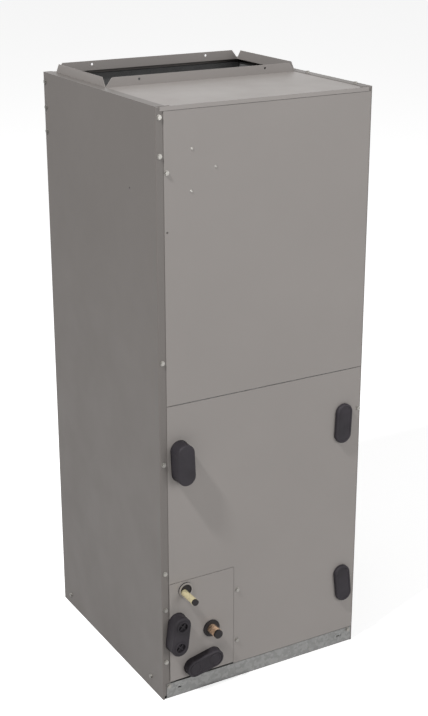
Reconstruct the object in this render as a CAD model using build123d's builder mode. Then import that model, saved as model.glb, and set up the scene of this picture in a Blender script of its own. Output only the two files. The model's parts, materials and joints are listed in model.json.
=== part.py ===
from build123d import *
import math
import os

os.makedirs("parts", exist_ok=True)

# Upflow air handler cabinet. Millimetres, +Z up, the front faces -Y.
# The origin is the centre of the footprint on the floor.

# Driving dimensions of the cabinet
cabinet_width = 533.0
cabinet_depth = 555.0
cabinet_height = 1376.0
case_gauge = 1.0
panel_gauge = 1.2
bend_radius = 2.0
seat_gap = 0.3
slip = 0.5

# Front posts and the edges of the access panels
post_width = 33.0
post_foot_width = 20.0
post_show = 18.0
panel_right_margin = 4.0
back_flange_width = 20.0
top_flange_width = 22.5
bottom_flange_width = 20.0
split_height = 730.0
panel_joint = 2.0
lip_height = 10.0
lip_margin = 10.0

# Supply collar on the top panel
collar_front = 273.0
collar_margin = 23.0
collar_back_margin = 22.0
collar_height = 21.0
collar_bevel = 16.0
collar_hole_radius = 2.8
collar_hole_rise = 13.0
collar_hole_spacing = 304.8
collar_front_hole_spacing = 323.0

# Filter, its rails and its door
filter_width = cabinet_width - 50
filter_depth = 495.0
filter_thickness = 20.0
filter_frame_width = 18.0
filter_media_thickness = 14.0
filter_rail_height = 22.0
filter_rail_lip = 14.0
filter_setback = 16.0
door_height = 40.0
door_lift = 1.5
door_left_margin = 9.0
door_right_margin = 5.0
door_return = 10.0
door_joggle = 1.5
door_joggle_height = 7.0
finger_slot_length = 23.0
finger_slot_height = 12.0
finger_slot_from_edge = 43.0
finger_slot_rise = 23.5

# Base frame and return opening
return_opening_width = 390.0
return_opening_depth = 400.0

# Liners
liner = 12.0
liner_front_setback = 20.0

# Coil rails and bottom drain pan
coil_rail_top = 45.0
coil_rail_bottom = 22.0
coil_rail_shelf = 30.0
pan_width = cabinet_width - 41
pan_front_setback = 16.0
pan_back_setback = 33.0
pan_height = 50.0
pan_wall = 3.0
pan_opening_width = pan_width - 192
pan_opening_depth = 370.0

# Side drain pan, which stands on the bottom pan for a unit laid on its left side
side_pan_top = 660.0
side_pan_bottom_depth = 36.0
side_pan_top_depth = 60.0
side_pan_front_setback = 56.0
side_pan_back_setback = 40.0

# Drain port blocks: obround, 97 by 43, each with its own place and tilt
port_length = 97.0
port_width = 43.0
port_edge = 2.5
port_hole_clearance = 1.0
upper_port_side = 49.0
upper_port_height = 597.0
upper_port_tilt = 2.5
upper_port_reach = 33.0
lower_port_side = 34.0
lower_port_height = 172.0
lower_port_tilt = 7.0
lower_port_reach = 30.0
bottom_port_side = 103.0
bottom_port_height = 76.0
bottom_port_tilt = 12.0
bottom_port_reach = 20.0
port_pitch = 52.0
port_bore_radius = 11.5
port_bore_depth = 16.0
port_ring_radius = 15.0
port_ring_height = 1.2
blank_recess = 1.5
blank_rim = 5.0
plug_clearance = 0.3
plug_slot = 3.0

# Blanking plugs in the lower panel
blank_plug_side = 51.0
blank_plug_height = 598.0
blank_plug_tilt = 2.0
blank_low_side = 38.0
blank_low_height = 174.0
blank_plug_reach = 10.0
blank_plug_shank = 8.0
blank_plug_seat = 3.0

# Connection plate and refrigerant stubs
plate_right = 187.0
plate_top = 297.5
plate_bottom = 45.0
plate_stand = 1.0
plate_return = 7.0
stub_swage = 0.4
liquid_stub_side = 55.0
liquid_stub_height = 270.0
liquid_stub_radius = 7.94
liquid_stub_bore = 6.4
liquid_stub_reach = 52.0
liquid_stub_inside = 14.0
liquid_neck_radius = liquid_stub_radius - stub_swage
liquid_hole_offset = 5.0
suction_stub_side = 127.0
suction_stub_height = 156.0
suction_radius = 11.1
suction_bore = 10.0
suction_stub_reach = 31.0
suction_neck_radius = suction_radius - stub_swage
grommet_rim = 4.0
grommet_lip = 3.0
liquid_grommet_radius = 18.5
liquid_grommet_hole = 16.0
suction_grommet_radius = 21.0
stub_plug_depth = 12.0
stub_plug_cap = 5.0

# A-coil
coil_length = 540.0
coil_thickness = 48.0
coil_lean = 17.0
coil_wall_space = 66.5
coil_foot_side = cabinet_width / 2 - coil_wall_space
coil_front_setback = 82.0
coil_back_setback = 45.0
sheet_gauge = 1.2
sheet_rim = 3.0
tube_radius = 4.8
tube_sides = 8
header_sides = 16
bend_pitch = 25.4
bend_count = 9
coil_cap_inset = 250.0
coil_cap_width = 2 * coil_foot_side - coil_cap_inset
header_setback = 45.0
header_top = 430.0
header_end = 110.0
header_bend = 24.0
feeder_heights = (200.0, 300.0, 390.0)
feeder_bend = 12.0
second_row = 14.0

# Liquid line, metering device and distributor
liquid_tube_radius = 4.76
metering_bottom = 340.0
metering_length = 46.0
metering_radius = 11.5
liquid_line_setback = 40.0
liquid_bend = 8.0
distributor_length = 16.0
capillary_radius = 2.0
capillary_bend = 6.0
capillary_ends = ((1, 522.0), (1, 502.0), (-1, 482.0), (-1, 462.0))

# Blower
wheel_radius = 132.5
wheel_width = 230.0
blade_inner_radius = 110.0
blade_count = 40
blade_thickness = 1.2
blade_sweep = 9.0
ring_width = 3.0
disc_offset = -30.0
disc_gauge = 2.0
housing_width = 266.0
scroll_start_radius = 165.0
scroll_step = 22.0
cutoff_radius = 12.0
scroll_centre_y = 27.5
inlet_radius = 104.0
inlet_mouth = 12.0
side_plate_rim = 3.0
housing_flange = 12.0
slide_lip_drop = 12.0
slide_lip_width = 12.0
blower_rail_setback = 22.0

# Motor, hub and shaft
shaft_radius = 6.35
running_clearance = 0.05
hub_radius = 20.0
hub_length = 28.0
motor_radius = 70.0
motor_length = 92.0
motor_shell = 2.5
motor_start = 8.0
stator_inner_radius = 40.0
rotor_core_radius = 39.3
bearing_radius = 16.0
bearing_length = 10.0
module_length = 38.0
module_radius = 66.0
band_width = 24.0
band_gauge = 2.0
arm_width = 18.0
arm_gauge = 3.0
arm_reach = 128.0

# Deck, partition and controls
deck_height = cabinet_height - 198
scroll_centre_height = deck_height - 228
partition_from_front = 272.0
heater_left = 62.0
heater_width = 215.0
heater_height = 130.0
heater_bottom = deck_height + 37
heater_cover_rim = 12.0
control_left = 315.0
control_width = 185.0
control_bottom = deck_height + 22
control_height = 150.0
control_depth = 70.0
board_width = 120.0
board_height = 80.0
board_gauge = 1.6
standoff = 6.0

# Fasteners
screw_radius = 2.1
screw_clearance = 0.3
head_radius = 4.7
head_height = 3.0
washer_radius = 5.6
washer_height = 0.8
shank_length = 9.0
rivet_radius = 3.4
rivet_height = 1.6
post_screw_side = 9.0
edge_screw_inset = 8.0
post_screw_heights = (cabinet_height - 22, cabinet_height - 101, 831.0, 595.0, 327.5, 234.6, 99.0)
upper_panel_screw = (24.0, cabinet_height - 136)
upper_panel_hole = (24.0, cabinet_height - 261)
lower_panel_screws = ((cabinet_width - edge_screw_inset, 626.7), (197.5, 236.0), (197.5, 102.0))
rivet_places = (
    (83.5, cabinet_height - 92),
    (139.3, cabinet_height - 135),
    (81.6, cabinet_height - 180),
)
wall_screws_low = ((28.0, 511.0), (32.0, 61.0))
right_wall_heights = (
    cabinet_height - 73,
    cabinet_height - 193,
    cabinet_height - 217,
    827.0,
    638.0,
)
left_wall_hole = (cabinet_height - 188, 121.0)
left_wall_hole_radius = 2.5
left_back_heights = (cabinet_height - 21, cabinet_height - 80, cabinet_height - 136)
top_edge_screw_setback = (50.0, 238.0)
wall_screw_setback = 12.0

# Places that follow from the sizes above
left = -cabinet_width / 2
right = cabinet_width / 2
front = -cabinet_depth / 2
back = cabinet_depth / 2
panel_back = front + panel_gauge
post_front = panel_back + seat_gap
post_back = post_front + case_gauge
wall_inner = right - case_gauge
back_inner = back - 2 * case_gauge
top_inner = cabinet_height - 2 * case_gauge
floor_plate_top = 2 * case_gauge
liner_inner = wall_inner - liner
back_liner_face = back_inner - liner
deck_top = deck_height + case_gauge
panel_left = left + post_show
panel_right = right - panel_right_margin
plate_face = front - plate_stand
neck_reach = plate_stand + grommet_lip + seat_gap
pan_bottom = coil_rail_top + seat_gap
pan_top = pan_bottom + pan_height
pan_front = post_back + pan_front_setback
pan_back = back - pan_back_setback
side_pan_bottom = pan_top + seat_gap
lean = math.radians(coil_lean)
coil_foot_height = pan_bottom + pan_wall + seat_gap + math.sin(lean) * coil_thickness / 2
coil_top_height = coil_foot_height + coil_length * math.cos(lean)
coil_front = front + coil_front_setback
coil_back = back - coil_back_setback
header_y = front + header_setback
wheel_y = scroll_centre_y + scroll_step / 2
wheel_height = scroll_centre_height + scroll_step / 2
scroll_top = deck_height - 2 * slip


def from_left(distance):
    """X of a point given from the cabinet's left side."""
    return left + distance


def coil_side_at(height):
    """Distance of a slab's centre line from the middle at a height."""
    return coil_foot_side - (height - coil_foot_height) * math.tan(lean)


def front_plane(x, height, y):
    """Plane on the front at a point, facing -Y."""
    return Plane(origin=(x, y, height), x_dir=(1, 0, 0), z_dir=(0, -1, 0))


def hex_screw(plane):
    """Hex washer-head screw whose head sits on the plane."""
    with BuildPart(plane, mode=Mode.PRIVATE) as screw:
        Cylinder(washer_radius, washer_height, align=(Align.CENTER, Align.CENTER, Align.MIN))
        with BuildSketch(plane.offset(washer_height)):
            RegularPolygon(head_radius, 6)
        extrude(amount=head_height)
        Cylinder(screw_radius, shank_length, align=(Align.CENTER, Align.CENTER, Align.MAX))
    return screw.part


# Side panels: a web with front, back, top and bottom flanges
top_flange_level = cabinet_height - case_gauge
foot_notch_top = door_height + panel_joint
door_screw_side = post_foot_width - head_radius - 1.0

with BuildPart() as left_side_panel:
    with BuildSketch():
        with BuildLine():
            FilletPolyline(
                (left + post_width, post_front),
                (left, post_front),
                (left, back),
                (left + back_flange_width, back),
                radius=bend_radius,
            )
            offset(amount=case_gauge, side=Side.RIGHT)
        make_face()
    extrude(amount=cabinet_height)
    with Locations((left, post_front + bend_radius, top_flange_level)):
        Box(
            top_flange_width,
            cabinet_depth - panel_gauge - seat_gap - 2 * bend_radius,
            case_gauge,
            align=Align.MIN,
        )
    with Locations((left + bend_radius, post_back, 0)):
        Box(
            bottom_flange_width,
            back - case_gauge - post_back,
            case_gauge,
            align=Align.MIN,
        )
    with Locations((left + case_gauge + slip, post_front - 1, top_inner)):
        Box(post_width, bend_radius + 1, case_gauge, align=Align.MIN, mode=Mode.SUBTRACT)
    with Locations((left + post_foot_width, post_front - 1, 0)):
        Box(post_width, 3 * case_gauge, foot_notch_top, align=Align.MIN, mode=Mode.SUBTRACT)
    with Locations((left + door_right_margin - 1, post_front - 1, 0)):
        Box(post_width, 3 * case_gauge, door_joggle_height + panel_joint, align=Align.MIN, mode=Mode.SUBTRACT)
    for height, setback in wall_screws_low:
        with Locations(Plane(origin=(left, front + setback, height), z_dir=(-1, 0, 0))):
            Hole(screw_radius + screw_clearance, depth=2 * case_gauge)
    plain_side = left_side_panel.part
    for height in post_screw_heights:
        with Locations(front_plane(from_left(post_screw_side), height, post_front)):
            Hole(screw_radius + screw_clearance, depth=2 * case_gauge)
    with Locations(front_plane(from_left(door_screw_side), door_height - 6, post_front)):
        Hole(screw_radius + screw_clearance, depth=2 * case_gauge)
    with Locations(front_plane(from_left(upper_panel_screw[0]), upper_panel_screw[1], post_front)):
        Hole(screw_radius + screw_clearance, depth=2 * case_gauge)
    for height in left_back_heights:
        with Locations(Plane(origin=(left, back - wall_screw_setback, height), z_dir=(-1, 0, 0))):
            Hole(screw_radius + screw_clearance, depth=2 * case_gauge)
    with Locations(Plane(origin=(left, front + left_wall_hole[1], left_wall_hole[0]), z_dir=(-1, 0, 0))):
        Hole(left_wall_hole_radius, depth=2 * case_gauge)
    for side, height, tilt in (
        (upper_port_side, upper_port_height, upper_port_tilt),
        (lower_port_side, lower_port_height, -lower_port_tilt),
    ):
        with BuildSketch(front_plane(from_left(side), height, post_back + 1)):
            SlotOverall(
                port_length + 2 * port_hole_clearance,
                port_width + 2 * port_hole_clearance,
                rotation=90 + tilt,
            )
        extrude(amount=4 * case_gauge, mode=Mode.SUBTRACT)
left_side_panel.part.label = "left_side_panel"
export_step(left_side_panel.part, "parts/left_side_panel.step")

with BuildPart() as right_side_panel:
    mirror(plain_side, about=Plane.YZ)
    for height in right_wall_heights:
        with Locations(Plane(origin=(right, front + wall_screw_setback, height), z_dir=(1, 0, 0))):
            Hole(screw_radius + screw_clearance, depth=2 * case_gauge)
    for setback in top_edge_screw_setback:
        with Locations((right - top_flange_width / 2, front + setback, cabinet_height)):
            Hole(screw_radius + screw_clearance, depth=case_gauge)
    with Locations(front_plane(from_left(lower_panel_screws[0][0]), lower_panel_screws[0][1], post_front)):
        Hole(screw_radius + screw_clearance, depth=2 * case_gauge)
    with Locations(front_plane(-from_left(door_screw_side), door_height - 6, post_front)):
        Hole(screw_radius + screw_clearance, depth=2 * case_gauge)
    for side, height, tilt in (
        (blank_plug_side, blank_plug_height, -blank_plug_tilt),
        (blank_low_side, blank_low_height, lower_port_tilt),
    ):
        with BuildSketch(front_plane(right - side, height, post_back + 1)):
            SlotOverall(port_length, port_width, rotation=90 + tilt)
        extrude(amount=4 * case_gauge, mode=Mode.SUBTRACT)
right_side_panel.part.label = "right_side_panel"
export_step(right_side_panel.part, "parts/right_side_panel.step")

with BuildPart() as back_panel:
    with Locations((0, back - case_gauge, floor_plate_top)):
        Box(
            2 * wall_inner - 2 * bend_radius + 2 * case_gauge,
            case_gauge,
            top_inner - floor_plate_top,
            align=(Align.CENTER, Align.MAX, Align.MIN),
        )
back_panel.part.label = "back_panel"
export_step(back_panel.part, "parts/back_panel.step")

# Top panel: plate, front and back lips, and four collar flanges with bevelled ends
collar_x = right - collar_margin
collar_y_front = front + collar_front
collar_y_back = back - collar_back_margin
collar_depth = collar_y_back - collar_y_front

with BuildPart() as top_panel:
    with Locations((0, post_front, top_inner)):
        Box(
            2 * wall_inner - 4 * slip,
            back - case_gauge - post_front,
            case_gauge,
            align=(Align.CENTER, Align.MIN, Align.MIN),
        )
    with Locations((0, front, top_flange_level)):
        Box(
            cabinet_width - 2 * lip_margin,
            post_front - front + 1,
            lip_height - case_gauge,
            align=(Align.CENTER, Align.MIN, Align.MAX),
        )
    with Locations((0, front + panel_gauge, top_inner)):
        Box(
            cabinet_width,
            post_front - front,
            lip_height,
            align=(Align.CENTER, Align.MIN, Align.MAX),
            mode=Mode.SUBTRACT,
        )
    with Locations((0, back, top_flange_level)):
        Box(
            cabinet_width - 2 * back_flange_width - 2,
            case_gauge,
            lip_height,
            align=(Align.CENTER, Align.MAX, Align.MAX),
        )
    for setback in top_edge_screw_setback:
        with Locations((right - top_flange_width / 2, front + setback, top_flange_level)):
            Hole(screw_radius + screw_clearance, depth=case_gauge)
    with Locations((0, collar_y_front + collar_depth / 2, top_inner)):
        Box(
            2 * collar_x - 2 * case_gauge,
            collar_depth - 2 * case_gauge,
            case_gauge,
            align=(Align.CENTER, Align.CENTER, Align.MIN),
            mode=Mode.SUBTRACT,
        )
    for y_plane, spacing in (
        (collar_y_front + case_gauge, collar_front_hole_spacing),
        (collar_y_back, collar_hole_spacing),
    ):
        with BuildSketch(Plane(origin=(0, y_plane, top_flange_level), x_dir=(1, 0, 0), z_dir=(0, -1, 0))):
            Polygon(
                (-collar_x, 0),
                (collar_x, 0),
                (collar_x - collar_bevel, collar_height),
                (-collar_x + collar_bevel, collar_height),
                align=None,
            )
            with Locations((-spacing / 2, collar_hole_rise), (spacing / 2, collar_hole_rise)):
                Circle(collar_hole_radius, mode=Mode.SUBTRACT)
        extrude(amount=case_gauge)
    for side in (-1, 1):
        outer_x = side * collar_x
        with BuildSketch(Plane(origin=(outer_x, 0, top_flange_level), x_dir=(0, 1, 0), z_dir=(1, 0, 0))):
            Polygon(
                (collar_y_front, 0),
                (collar_y_back, 0),
                (collar_y_back - collar_bevel, collar_height),
                (collar_y_front + collar_bevel, collar_height),
                align=None,
            )
        extrude(amount=-side * case_gauge)
top_panel.part.label = "top_panel"
export_step(top_panel.part, "parts/top_panel.step")

# Base frame: plate with the return opening
with BuildPart() as base_frame:
    with Locations((0, post_back + slip, case_gauge)):
        Box(
            2 * wall_inner - 4 * slip,
            back_inner - post_back - 2 * slip,
            case_gauge,
            align=(Align.CENTER, Align.MIN, Align.MIN),
        )
    with Locations((0, 0, case_gauge)):
        Box(return_opening_width, return_opening_depth, 3 * case_gauge, mode=Mode.SUBTRACT)
base_frame.part.label = "base_frame"
export_step(base_frame.part, "parts/base_frame.step")

# Filter rails: two channels that carry the filter
rail_web = filter_width / 2 + 2 * slip
filter_front = front + filter_setback
filter_rail_top = floor_plate_top + filter_rail_height + 2 * case_gauge

with BuildPart() as filter_rails:
    with BuildSketch(Plane(origin=(0, filter_front, 0), x_dir=(1, 0, 0), z_dir=(0, -1, 0))):
        with BuildLine():
            Polyline(
                (rail_web + case_gauge - filter_rail_lip, floor_plate_top),
                (rail_web + case_gauge, floor_plate_top),
                (rail_web + case_gauge, filter_rail_top),
                (rail_web + case_gauge - filter_rail_lip, filter_rail_top),
            )
            offset(amount=case_gauge, side=Side.LEFT)
        make_face()
    extrude(amount=-filter_depth - 4)
    mirror(about=Plane.YZ)
filter_rails.part.label = "filter_rails"
export_step(filter_rails.part, "parts/filter_rails.step")

# Air filter: card frame round a pleated medium
filter_bottom = floor_plate_top + case_gauge + seat_gap
media_half_depth = filter_depth / 2 - filter_frame_width
pleat_count = 24
pleat_pitch = 2 * media_half_depth / pleat_count
pleat_web = 2.0

with BuildPart() as filter_frame:
    with Locations((0, filter_front + filter_depth / 2 + 1, filter_bottom)):
        Box(filter_width, filter_depth, filter_thickness, align=(Align.CENTER, Align.CENTER, Align.MIN))
        Box(
            filter_width - 2 * filter_frame_width,
            filter_depth - 2 * filter_frame_width,
            3 * filter_thickness,
            mode=Mode.SUBTRACT,
        )
filter_frame.part.label = "filter_frame"
export_step(filter_frame.part, "parts/filter_frame.step")

pleat_centre = filter_front + filter_depth / 2 + 1
pleat_middle = filter_bottom + filter_thickness / 2
pleat_points = [
    (
        pleat_centre - media_half_depth + pleat_pitch * step / 2,
        pleat_middle + (filter_media_thickness - pleat_web) / 2 * (1 if step % 2 else -1),
    )
    for step in range(2 * pleat_count + 1)
]
with BuildPart() as filter_media:
    with BuildSketch(Plane.YZ.offset(-filter_width / 2 + filter_frame_width)):
        with BuildLine():
            Polyline(*[(y, z - pleat_web / 2) for y, z in pleat_points])
            Line(
                (pleat_points[-1][0], pleat_points[-1][1] - pleat_web / 2),
                (pleat_points[-1][0], pleat_points[-1][1] + pleat_web / 2),
            )
            Polyline(*[(y, z + pleat_web / 2) for y, z in reversed(pleat_points)])
            Line(
                (pleat_points[0][0], pleat_points[0][1] + pleat_web / 2),
                (pleat_points[0][0], pleat_points[0][1] - pleat_web / 2),
            )
        make_face()
    extrude(amount=filter_width - 2 * filter_frame_width)
filter_media.part.label = "filter_media"
export_step(filter_media.part, "parts/filter_media.step")

# Filter door: galvanised strip with a folded top, a joggled foot and two pressed finger slots
door_left = left + door_left_margin
door_right = right - door_right_margin
door_return_side = right - post_foot_width - 2 * slip

with BuildPart() as filter_door:
    with BuildSketch(Plane.YZ.offset(door_left)):
        with BuildLine():
            Polyline(
                (front, door_height),
                (front, door_joggle_height),
                (front + door_joggle, door_joggle_height - door_joggle),
                (front + door_joggle, door_lift),
            )
            offset(amount=case_gauge, side=Side.LEFT)
        make_face()
    extrude(amount=door_right - door_left)
    with Locations((0, front, door_height)):
        Box(2 * door_return_side, door_return, case_gauge, align=(Align.CENTER, Align.MIN, Align.MAX))
    for side in (-1, 1):
        slot_x = side * (right - finger_slot_from_edge)
        with BuildSketch(front_plane(slot_x, finger_slot_rise, front + case_gauge / 2)):
            SlotOverall(finger_slot_length, finger_slot_height)
            SlotOverall(finger_slot_length - 5, finger_slot_height - 5, mode=Mode.SUBTRACT)
        extrude(amount=case_gauge / 2 + 0.8)
        with BuildSketch(front_plane(slot_x, finger_slot_rise, front + 2 * case_gauge)):
            SlotOverall(finger_slot_length - 14, finger_slot_height - 9)
        extrude(amount=3 * case_gauge, mode=Mode.SUBTRACT)
        with Locations(front_plane(side * (right - door_screw_side), door_height - 6, front)):
            Hole(screw_radius + screw_clearance, depth=2 * case_gauge)
filter_door.part.label = "filter_door"
export_step(filter_door.part, "parts/filter_door.step")

with BuildPart() as filter_door_screws:
    for side in (-1, 1):
        add(hex_screw(front_plane(side * (right - door_screw_side), door_height - 6, front)))
filter_door_screws.part.label = "filter_door_screws"
export_step(filter_door_screws.part, "parts/filter_door_screws.step")

# Cross rail behind the joint of the two access panels
rail_half_height = 15.0
rail_depth = 14.0

with BuildPart() as cross_rail:
    with BuildSketch(Plane.YZ.offset(-wall_inner + 2 * slip)):
        with BuildLine():
            Polyline(
                (post_back + rail_depth, split_height - rail_half_height),
                (post_back, split_height - rail_half_height),
                (post_back, split_height + rail_half_height),
                (post_back + rail_depth, split_height + rail_half_height),
            )
            offset(amount=case_gauge, side=Side.RIGHT)
        make_face()
    extrude(amount=2 * wall_inner - 4 * slip)
cross_rail.part.label = "cross_rail"
export_step(cross_rail.part, "parts/cross_rail.step")

# Coil rails on the side walls
with BuildPart() as coil_rails:
    with BuildSketch(Plane(origin=(0, pan_front, 0), x_dir=(1, 0, 0), z_dir=(0, -1, 0))):
        with BuildLine():
            Polyline(
                (wall_inner, coil_rail_bottom),
                (wall_inner, coil_rail_top),
                (wall_inner - coil_rail_shelf, coil_rail_top),
            )
            offset(amount=case_gauge, side=Side.LEFT)
        make_face()
    extrude(amount=-(back_inner - pan_front - slip))
    for height, setback in wall_screws_low:
        with Locations(Plane(origin=(right, front + setback, height), z_dir=(1, 0, 0))):
            Hole(screw_radius + screw_clearance, depth=4 * case_gauge)
    mirror(about=Plane.YZ)
coil_rails.part.label = "coil_rails"
export_step(coil_rails.part, "parts/coil_rails.step")

# Liners: foil-faced boards on the side and back walls, each in a lower and an upper length
liner_bottom = coil_rail_top + slip
liner_top = top_inner - shank_length
liner_front = post_back + liner_front_setback
liner_depth = back_liner_face - slip - liner_front

with BuildPart() as side_liners:
    with Locations((-wall_inner, liner_front, liner_bottom)):
        Box(liner, liner_depth, deck_height - seat_gap - liner_bottom, align=Align.MIN)
    with Locations((-wall_inner, liner_front, deck_top + seat_gap)):
        Box(liner, liner_depth, liner_top - deck_top - seat_gap, align=Align.MIN)
    mirror(about=Plane.YZ)
side_liners.part.label = "side_liners"
export_step(side_liners.part, "parts/side_liners.step")

with BuildPart() as back_liner:
    with Locations((0, back_inner, liner_bottom)):
        Box(
            2 * liner_inner - 2 * slip,
            liner,
            deck_height - seat_gap - liner_bottom,
            align=(Align.CENTER, Align.MAX, Align.MIN),
        )
    with Locations((0, back_inner, deck_top + seat_gap)):
        Box(
            2 * liner_inner - 2 * slip,
            liner,
            liner_top - deck_top - seat_gap,
            align=(Align.CENTER, Align.MAX, Align.MIN),
        )
back_liner.part.label = "back_liner"
export_step(back_liner.part, "parts/back_liner.step")


def along(tilt_degrees, distance):
    """Offset of a point at a distance along a tilted line on the front."""
    angle = math.radians(tilt_degrees)
    return (distance * math.cos(angle), distance * math.sin(angle))


def port_block(side, height, tilt, reach, root_y):
    """Obround port block from its root to its face in front of the cabinet."""
    with BuildPart(mode=Mode.PRIVATE) as block:
        with BuildSketch(front_plane(from_left(side), height, root_y)):
            SlotOverall(port_length, port_width, rotation=tilt)
        extrude(amount=root_y - front + reach)
        chamfer(block.faces().sort_by(Axis.Y)[0].edges(), port_edge)
    return block.part


# Bottom drain pan: a ring tray whose port block reaches out through the connection plate
pan_middle = (pan_front + pan_back) / 2
pan_depth = pan_back - pan_front
bottom_port = port_block(
    bottom_port_side,
    bottom_port_height,
    bottom_port_tilt,
    bottom_port_reach,
    pan_front + pan_wall,
)
bottom_port_recess = front_plane(
    from_left(bottom_port_side),
    bottom_port_height,
    front - bottom_port_reach + blank_recess,
)

with BuildPart() as bottom_drain_pan:
    with Locations((0, pan_middle, pan_bottom)):
        Box(pan_width, pan_depth, pan_height, align=(Align.CENTER, Align.CENTER, Align.MIN))
    with Locations((0, pan_middle, pan_bottom + pan_wall)):
        Box(
            pan_width - 2 * pan_wall,
            pan_depth - 2 * pan_wall,
            pan_height,
            align=(Align.CENTER, Align.CENTER, Align.MIN),
            mode=Mode.SUBTRACT,
        )
    with Locations((0, pan_middle, pan_bottom)):
        Box(
            pan_opening_width + 2 * pan_wall,
            pan_opening_depth + 2 * pan_wall,
            pan_height / 2,
            align=(Align.CENTER, Align.CENTER, Align.MIN),
        )
        Box(
            pan_opening_width,
            pan_opening_depth,
            pan_height,
            align=(Align.CENTER, Align.CENTER, Align.MIN),
            mode=Mode.SUBTRACT,
        )
    add(bottom_port)
    with BuildSketch(bottom_port_recess):
        SlotOverall(port_length - 2 * blank_rim, port_width - 2 * blank_rim, rotation=bottom_port_tilt)
    extrude(amount=2 * blank_recess, mode=Mode.SUBTRACT)
    for end in (-1, 1):
        x_off, z_off = along(bottom_port_tilt, end * port_pitch / 2)
        ring_plane = front_plane(
            from_left(bottom_port_side) + x_off,
            bottom_port_height + z_off,
            front - bottom_port_reach + blank_recess,
        )
        with BuildSketch(ring_plane):
            Circle(port_ring_radius)
            Circle(port_ring_radius - pan_wall, mode=Mode.SUBTRACT)
        extrude(amount=port_ring_height)
bottom_drain_pan.part.label = "bottom_drain_pan"
export_step(bottom_drain_pan.part, "parts/bottom_drain_pan.step")

# Side drain pan: tray on edge at the left wall with two port blocks
side_pan_x = -liner_inner + seat_gap
side_pan_front = front + side_pan_front_setback
side_pan_back = back - side_pan_back_setback


def tray_outline(inset):
    """Side pan section seen from the front, inset by the wall thickness."""
    Polygon(
        (side_pan_x + inset, side_pan_bottom + inset),
        (side_pan_x + side_pan_bottom_depth + inset, side_pan_bottom + inset),
        (side_pan_x + side_pan_top_depth + inset, side_pan_top - inset),
        (side_pan_x + inset, side_pan_top - inset),
        align=None,
    )


with BuildPart() as side_drain_pan:
    with BuildSketch(Plane(origin=(0, side_pan_front, 0), x_dir=(1, 0, 0), z_dir=(0, -1, 0))):
        tray_outline(0)
    extrude(amount=side_pan_front - side_pan_back)
    with BuildSketch(Plane(origin=(0, side_pan_front + pan_wall, 0), x_dir=(1, 0, 0), z_dir=(0, -1, 0))):
        tray_outline(pan_wall)
    extrude(amount=side_pan_front - side_pan_back + 2 * pan_wall, mode=Mode.SUBTRACT)
    for side, height, tilt, reach in (
        (upper_port_side, upper_port_height, 90 + upper_port_tilt, upper_port_reach),
        (lower_port_side, lower_port_height, 90 - lower_port_tilt, lower_port_reach),
    ):
        add(port_block(side, height, tilt, reach, side_pan_front + pan_wall))
    with Locations((left, liner_front - slip, lower_port_height)):
        Box(
            side_pan_x - left,
            side_pan_front - liner_front + 2 * pan_wall,
            2 * port_length,
            align=(Align.MIN, Align.MIN, Align.CENTER),
            mode=Mode.SUBTRACT,
        )
    for end in (-1, 1):
        x_off, z_off = along(90 - lower_port_tilt, end * port_pitch / 2)
        ring_plane = front_plane(
            from_left(lower_port_side) + x_off,
            lower_port_height + z_off,
            front - lower_port_reach,
        )
        with BuildSketch(ring_plane):
            Circle(port_ring_radius)
        extrude(amount=port_ring_height)
        with Locations(ring_plane.offset(port_ring_height)):
            Hole(port_bore_radius, depth=port_bore_depth)
side_drain_pan.part.label = "side_drain_pan"
export_step(side_drain_pan.part, "parts/side_drain_pan.step")

with BuildPart() as drain_plugs:
    for end in (-1, 1):
        x_off, z_off = along(90 - lower_port_tilt, end * port_pitch / 2)
        plug_plane = front_plane(
            from_left(lower_port_side) + x_off,
            lower_port_height + z_off,
            front - lower_port_reach - port_ring_height + port_bore_depth,
        )
        with BuildSketch(plug_plane):
            Circle(port_bore_radius - running_clearance)
        extrude(amount=port_bore_depth - 2 * plug_slot)
        with BuildSketch(plug_plane.offset(port_bore_depth - 2 * plug_slot)):
            Rectangle(2 * port_bore_radius - plug_slot, plug_slot, rotation=45)
            Rectangle(plug_slot, 2 * port_bore_radius - plug_slot, rotation=45)
        extrude(amount=plug_slot)
drain_plugs.part.label = "drain_plugs"
export_step(drain_plugs.part, "parts/drain_plugs.step")


# A-coil
def slab_plane(side, y):
    """Plane whose Y runs up along a slab from its foot; its X crosses the slab outwards."""
    return Plane(
        origin=(side * coil_foot_side, y, coil_foot_height),
        x_dir=(side * math.cos(lean), 0, math.sin(lean)),
        z_dir=(0, -side, 0),
    )


def coil_slab(side):
    """Fin pack of one side."""
    with BuildPart(mode=Mode.PRIVATE) as slab:
        with BuildSketch(slab_plane(side, coil_front)):
            with Locations((0, coil_length / 2)):
                Rectangle(coil_thickness, coil_length)
        extrude(amount=-side * (coil_back - coil_front))
    return slab.part


with BuildPart() as coil_left:
    add(coil_slab(-1))
coil_left.part.label = "coil_left"
export_step(coil_left.part, "parts/coil_left.step")

with BuildPart() as coil_right:
    add(coil_slab(1))
coil_right.part.label = "coil_right"
export_step(coil_right.part, "parts/coil_right.step")

sheet_start = 4.0
with BuildPart() as tube_sheets:
    for side in (-1, 1):
        for y_face, direction in ((coil_front, 1), (coil_back, -1)):
            with BuildSketch(slab_plane(side, y_face)):
                with Locations((0, (coil_length + sheet_start) / 2)):
                    Rectangle(coil_thickness + 2 * sheet_rim, coil_length - sheet_start)
            extrude(amount=side * direction * sheet_gauge)
tube_sheets.part.label = "tube_sheets"
export_step(tube_sheets.part, "parts/tube_sheets.step")



def straight_tube(start, end, radius):
    """Round bar between two points."""
    run = Vector(*end) - Vector(*start)
    with BuildPart(Plane(origin=start, z_dir=run), mode=Mode.PRIVATE) as bar:
        Cylinder(radius, run.length, align=(Align.CENTER, Align.CENTER, Align.MIN))
    return bar.part


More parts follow.
